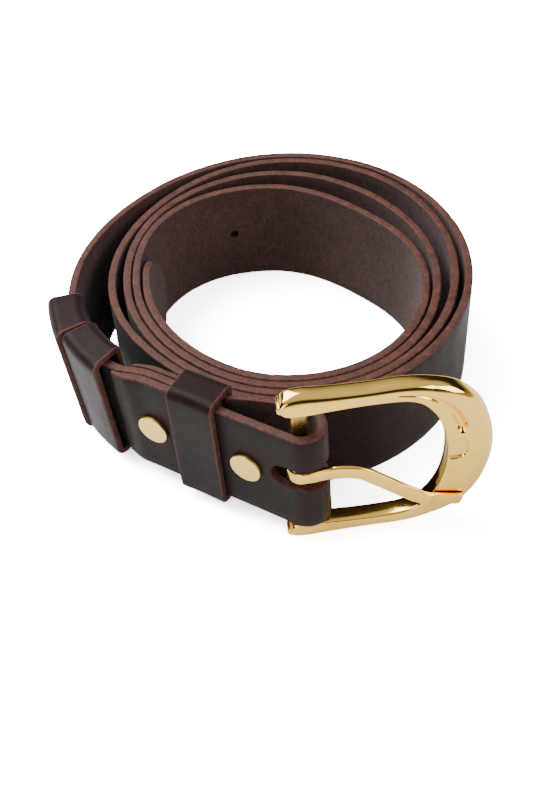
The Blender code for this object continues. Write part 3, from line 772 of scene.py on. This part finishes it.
BAR_STATION = lead_station(0.0)
BAR_FOOT = BAR_STATION.at(CHAPE_THICKNESS + GAP - BAR_BEHIND_FACE, 0.0)
FRAME_UP = BAR_STATION.across
FRAME_OUT = Vector((math.cos(FRAME_HEADING), math.sin(FRAME_HEADING), 0.0))
FRAME_OUT = (FRAME_OUT - FRAME_UP * FRAME_OUT.dot(FRAME_UP)).normalized()
FRAME_FRONT = FRAME_OUT.cross(FRAME_UP).normalized()
FRAME_MIDDLE = BAR_FOOT + FRAME_UP * (FRAME_HALF_HEIGHT - BAR_FOOT.z / FRAME_UP.z + 0.1 * MM)


def on_frame(x, y, z):
    """Point from the buckle's own coordinates: x from the bar to the nose, y towards the back, z up."""
    return FRAME_MIDDLE + FRAME_OUT * x - FRAME_FRONT * y + FRAME_UP * z


def polyline_distance(point, line):
    """Distance from point to a polyline and how far along it the nearest place is, from 0 to 1."""
    best, share = 1e9, 0.0
    for index, (a, b) in enumerate(zip(line, line[1:])):
        side = b - a
        t = min(max((point - a).dot(side) / side.length_squared, 0.0), 1.0)
        distance = (point - a - side * t).length
        if distance < best:
            best, share = distance, (index + t) / (len(line) - 1)
    return best, share


def fine_line(points_mm, steps):
    points = [Vector(point) for point in points_mm]
    total = (len(points) - 1) * steps
    return [curve_point(points, min(k / steps, len(points) - 1.001)) for k in range(total + 1)]


CRESCENT = fine_line(CRESCENT_LINE_MM, 6)


def nose_relief(x, z):
    """How far the front face is sunk at this place: the crescent groove and the rest for the tongue's tip."""
    place = Vector((x, z)) / MM
    distance, share = polyline_distance(place, CRESCENT)
    half = CRESCENT_HALF_WIDTH_MM * mix(0.15, 1.0, smooth(share, 0.0, 0.75))
    depth = CRESCENT_DEPTH * (half / CRESCENT_HALF_WIDTH_MM) * (1.0 - smooth(distance, 0.0, half))
    tip = FRAME_EDGES_MM[-1][1][0] + REST_LENGTH_MM
    offset = abs(place.y - REST_HEIGHT_MM)
    reach = max(place.x - (tip - REST_CORNER_MM), 0.0)
    corner = math.hypot(reach, max(offset - (REST_HALF_WIDTH_MM - REST_CORNER_MM), 0.0)) - REST_CORNER_MM
    inside = max(corner, offset - REST_HALF_WIDTH_MM)
    return max(depth, REST_DEPTH * (1.0 - smooth(inside, -0.35, 0.25)))


OUTER_ROUND = 3.0 * MM
INNER_ROUND = 0.7 * MM
BACK_ROUND = 1.5 * MM
ROUND_STEPS = 7
FRONT_STEPS = 56


def frame_ring(outer, inner):
    """Section of the buckle between its two edges: flat front, soft outer shoulder, crisp inner edge."""
    across = outer - inner
    width = across.length
    half = FRAME_DEPTH / 2
    big = min(OUTER_ROUND, width * 0.42)
    small = min(INNER_ROUND, width * 0.2)
    back = min(BACK_ROUND, width * 0.3)
    points = []
    for step in range(FRONT_STEPS):
        points.append((mix(small, width - big, step / FRONT_STEPS), -half))
    for centre, radius, start in (
        ((width - big, -half + big), big, -90.0), ((width - back, half - back), back, 0.0),
        ((back, half - back), back, 90.0), ((small, -half + small), small, 180.0),
    ):
        for step in range(ROUND_STEPS + 1):
            angle = math.radians(start + 90.0 * step / ROUND_STEPS)
            points.append((centre[0] + radius * math.cos(angle), centre[1] + radius * math.sin(angle)))
    ring = []
    for reach, depth in points[:-1]:
        place = inner + across * (reach / width)
        if depth < -half + 0.01 * MM:
            depth += nose_relief(place.x, place.y)
        ring.append(on_frame(place.x, depth - FRAME_AHEAD, place.y))
    return ring


def build_frame():
    """The casting: one arm, round the nose and back along the other arm, swept through its sections."""
    outer = [Vector(pair[0]) * MM for pair in FRAME_EDGES_MM]
    inner = [Vector(pair[1]) * MM for pair in FRAME_EDGES_MM]
    flip = Vector((1.0, -1.0))
    outer += [point * flip for point in reversed(outer[:-1])]
    inner += [point * flip for point in reversed(inner[:-1])]
    rings = []
    steps = 18
    for step in range((len(outer) - 1) * steps + 1):
        place = min(step / steps, len(outer) - 1.0001)
        rings.append(frame_ring(curve_point(outer, place), curve_point(inner, place)))
    # Each arm's free end is rounded off by rings that shrink towards its middle.
    for end in (0, -1):
        ring = rings[end]
        middle = sum(ring, Vector()) / len(ring)
        outward = -FRAME_OUT
        extra = []
        for step in range(1, 5):
            angle = math.pi / 2 * step / 5
            extra.append([middle + (point - middle) * math.cos(angle) + outward * (0.9 * MM * math.sin(angle))
                          for point in ring])
        rings = extra[::-1] + rings if end == 0 else rings + extra
    return new_object("buckle_frame_gold", skin(rings), (GOLD,), 50.0)


def build_bar():
    """Heel bar: a flattened rod between the arms."""
    rings = []
    length = 2 * FRAME_HALF_HEIGHT - 10.0 * MM
    for share in (-0.5, -0.25, 0.0, 0.25, 0.5):
        ring = []
        for k in range(32):
            angle = 2 * math.pi * k / 32
            x = math.copysign(abs(math.cos(angle)) ** 0.5, math.cos(angle)) * BAR_WIDTH / 2
            y = math.copysign(abs(math.sin(angle)) ** 0.5, math.sin(angle)) * BAR_DEPTH / 2
            ring.append(on_frame(x, y, share * length))
        rings.append(ring)
    return new_object("heel_bar", skin(rings), (BAR_GOLD,), 60.0)


def build_tongue():
    """Flat bar with one end curled round the heel bar, its front softly crowned."""
    centre = FRAME_MIDDLE + FRAME_UP * (TONGUE_HEIGHT - (FRAME_MIDDLE - BAR_FOOT).length)
    half = TONGUE_WIDTH / 2
    middle_radius = TONGUE_LOOP_BORE + TONGUE_THICKNESS / 2
    rings = []

    def add_ring(point, normal, height, sideways, thick):
        """point is the section's middle in (x, y), normal points to its front, sideways is (x, z)."""
        ring = []
        for k in range(24):
            angle = 2 * math.pi * k / 24
            side = math.copysign(abs(math.cos(angle)) ** 0.42, math.cos(angle))
            front = math.copysign(abs(math.sin(angle)) ** 0.55, math.sin(angle)) * thick / 2
            x = point.x + normal.x * front + sideways.x * side
            y = point.y + normal.y * front
            ring.append(centre + FRAME_OUT * x - FRAME_FRONT * y + FRAME_UP * (height + sideways.y * side))
        rings.append(ring)

    curl = 40
    for step in range(curl + 1):
        angle = math.radians(TONGUE_CURL_DEG) * (1.0 - step / curl)
        direction = Vector((-math.sin(angle), -math.cos(angle)))
        add_ring(direction * middle_radius, direction, 0.0, Vector((0.0, half)), TONGUE_THICKNESS)
    line = [Vector(point) * MM for point in TONGUE_LINE_MM]
    depth = -(FRAME_DEPTH / 2 + FRAME_AHEAD + GAP + TONGUE_THICKNESS / 2)
    front = Vector((0.0, -1.0))
    steps = 14
    total = (len(line) - 1) * steps
    for step in range(total + 1):
        place = min(step / steps, len(line) - 1.001)
        point = curve_point(line, place)
        along = (curve_point(line, place + 0.001) - point).normalized()
        sideways = Vector((-along.y, along.x)) * half
        # A step close to the tip lets it sit lower on the nose.
        sunk = smooth(place, *TONGUE_STEP_DOWN)
        thick = mix(TONGUE_THICKNESS, TONGUE_THICKNESS * TONGUE_TIP_SHARE, sunk)
        ramp = (point.x - TONGUE_FORWARD_START) / (TONGUE_FORWARD_END - TONGUE_FORWARD_START)
        y = mix(-middle_radius, depth, min(max(ramp, 0.0), 1.0)) + (TONGUE_THICKNESS - thick) / 2
        add_ring(Vector((point.x, y)), front, point.y, sideways, thick)
    for share in (0.35, 0.7, 0.9, 1.0):
        end = point + along * (TIP_CHAMFER * share)
        shrink = math.sqrt(max(1.0 - share * share * 0.93, 0.0))
        middle = Vector((end.x, y + (1 - shrink) * thick / 2))
        add_ring(middle, front, end.y, sideways * mix(0.6, 1.0, shrink), thick * shrink)
    return new_object("buckle_tongue_gold", skin(rings), (GOLD,), 45.0)


# ---------------------------------------------------------------- stage


FLOOR_SEEN = 14.0
FLOOR_BOUNCE = 0.84
# Brightness of the studio by the height looked at: the pale sweep, the dark room, then the ceiling.
WORLD_BANDS = ((0.0, 0.55), (0.10, 0.30), (0.22, 0.03), (0.58, 0.04), (0.74, 0.85), (1.0, 1.0))
WORLD_STRENGTH = 0.8
# Name, place, side in metres and power in watts of each softbox.
SOFTBOXES = (
    ("key", (-0.45, 0.30, 0.75), 0.80, 20.0),
    ("fill", (0.80, -0.45, 0.50), 0.60, 8.0),
    ("front", (-0.40, -0.95, 0.40), 0.50, 3.0),
)
LIT_PLACE = Vector((0.0, 0.0, 0.02))
CAMERA_LENS = 36.45
CAMERA_PLACE = Vector((-0.00548, -0.28438, 0.29721))
CAMERA_AXES = ((0.99743, -0.05339, -0.04781), (0.07167, 0.74309, 0.66539), (0.0, -0.66710, 0.74497))


def build_floor():
    """Pale sweep. The camera sees it brighter than the light that it throws back on the belt."""
    bm = bmesh.new()
    bmesh.ops.create_grid(bm, x_segments=1, y_segments=1, size=3.0)
    n = Nodes("floor_paper")
    n.tree.nodes.remove(n.shader)
    paper = n.add("ShaderNodeBsdfDiffuse")
    ray = n.add("ShaderNodeLightPath").outputs["Is Camera Ray"]
    n.link(n.blend(ray, (FLOOR_BOUNCE,) * 3, (FLOOR_SEEN,) * 3), paper.inputs["Color"])
    n.link(paper.outputs["BSDF"], n.tree.nodes["Material Output"].inputs["Surface"])
    floor = new_object("floor", bm, (n.material,))


def build_light():
    """A studio that is bright low down and overhead, with three softboxes."""
    world = bpy.data.worlds.new("studio")
    bpy.context.scene.world = world
    world.use_nodes = True
    nodes, links = world.node_tree.nodes, world.node_tree.links
    background = nodes["Background"]
    coords = nodes.new("ShaderNodeTexCoord")
    split = nodes.new("ShaderNodeSeparateXYZ")
    ramp = nodes.new("ShaderNodeValToRGB")
    stops = ramp.color_ramp.elements
    while len(stops) < len(WORLD_BANDS):
        stops.new(0.5)
    for stop, (height, bright) in zip(stops, WORLD_BANDS):
        stop.position = height
        stop.color = (bright, bright, bright * 1.02, 1.0)
    links.new(coords.outputs["Generated"], split.inputs["Vector"])
    links.new(split.outputs["Z"], ramp.inputs["Fac"])
    links.new(ramp.outputs["Color"], background.inputs["Color"])
    background.inputs["Strength"].default_value = WORLD_STRENGTH
    for name, place, size, power in SOFTBOXES:
        light = bpy.data.lights.new(name, "AREA")
        light.shape = "SQUARE"
        light.size = size
        light.energy = power
        obj = bpy.data.objects.new(name, light)
        obj.location = place
        obj.rotation_euler = (LIT_PLACE - Vector(place)).to_track_quat("-Z", "Y").to_euler()
        bpy.context.scene.collection.objects.link(obj)


def build_camera():
    """Looks down at 48 degrees from the front, rolled a little."""
    camera = bpy.data.objects.new("camera", bpy.data.cameras.new("camera"))
    camera.data.lens = CAMERA_LENS
    camera.data.sensor_fit = "VERTICAL"
    camera.data.sensor_height = 24.0
    camera.data.clip_start = 0.01
    axes = Matrix(CAMERA_AXES).transposed().to_4x4()
    camera.matrix_world = Matrix.Translation(CAMERA_PLACE + COIL_CENTRE) @ axes
    bpy.context.scene.collection.objects.link(camera)
    bpy.context.scene.camera = camera


# ---------------------------------------------------------------- the belt


def put(obj, body, slot, *nodes):
    """Ties a piece to its body and names the CAD nodes that it stands for, which it hides. The slot argument
    is not used.
    """
    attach(obj, body)
    if nodes:
        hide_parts(*nodes)


def dress_cad(node, material):
    """A CAD node that stays on show gets its finish and slightly broken edges."""
    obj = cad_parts[node]
    obj.data.materials.clear()
    obj.data.materials.append(material)
    bevel = obj.modifiers.new("edge", "BEVEL")
    bevel.width = 0.12 * MM
    bevel.segments = 2


def main():
    build_camera()
    put(build_strap(), "belt", "strap_leather", "strap")
    put(build_chape(), "belt", "chape_leather", "buckle_chape")
    inside_low = -(STRAP_THICKNESS + GAP + CHAPE_BACK_THICKNESS + GAP)
    inside_high = GAP + CHAPE_THICKNESS + GAP
    fixed = build_keeper("keeper_fixed_leather", FIXED_KEEPER_SPAN, inside_low, inside_high, 1.3)
    put(fixed, "belt", "keeper_leather", "keeper_fixed")
    for seed, (side, (span, room_behind, room_ahead)) in enumerate(SLIDING_KEEPERS.items(), start=4):
        inside = -STRAP_THICKNESS - room_behind
        keeper = build_keeper(f"keeper_{side}_leather", span, inside, room_ahead, seed * 1.7)
        put(keeper, f"sliding_keeper_{side}", "keeper_leather", f"keeper_{side}")
    for index, travel in enumerate(SCREW_TRAVELS, start=1):
        end_out = back_leg_inner(travel) - CHAPE_BACK_THICKNESS
        put(build_cap(f"cap_{index}_gold", travel, end_out), "belt", "screw_gold", f"chicago_{index}_post")
        dress_cad(f"chicago_{index}_screw", CAP_GOLD)
    put(build_frame(), "buckle", "gold_plate", "buckle_frame")
    put(build_bar(), "buckle", "gold_plate")
    put(build_tongue(), "tongue", "gold_plate", "buckle_tongue")
    for node in ("keeper_fixed_staple", "keeper_near_staple", "keeper_far_staple"):
        dress_cad(node, STEEL)
    build_floor()
    build_light()


main()
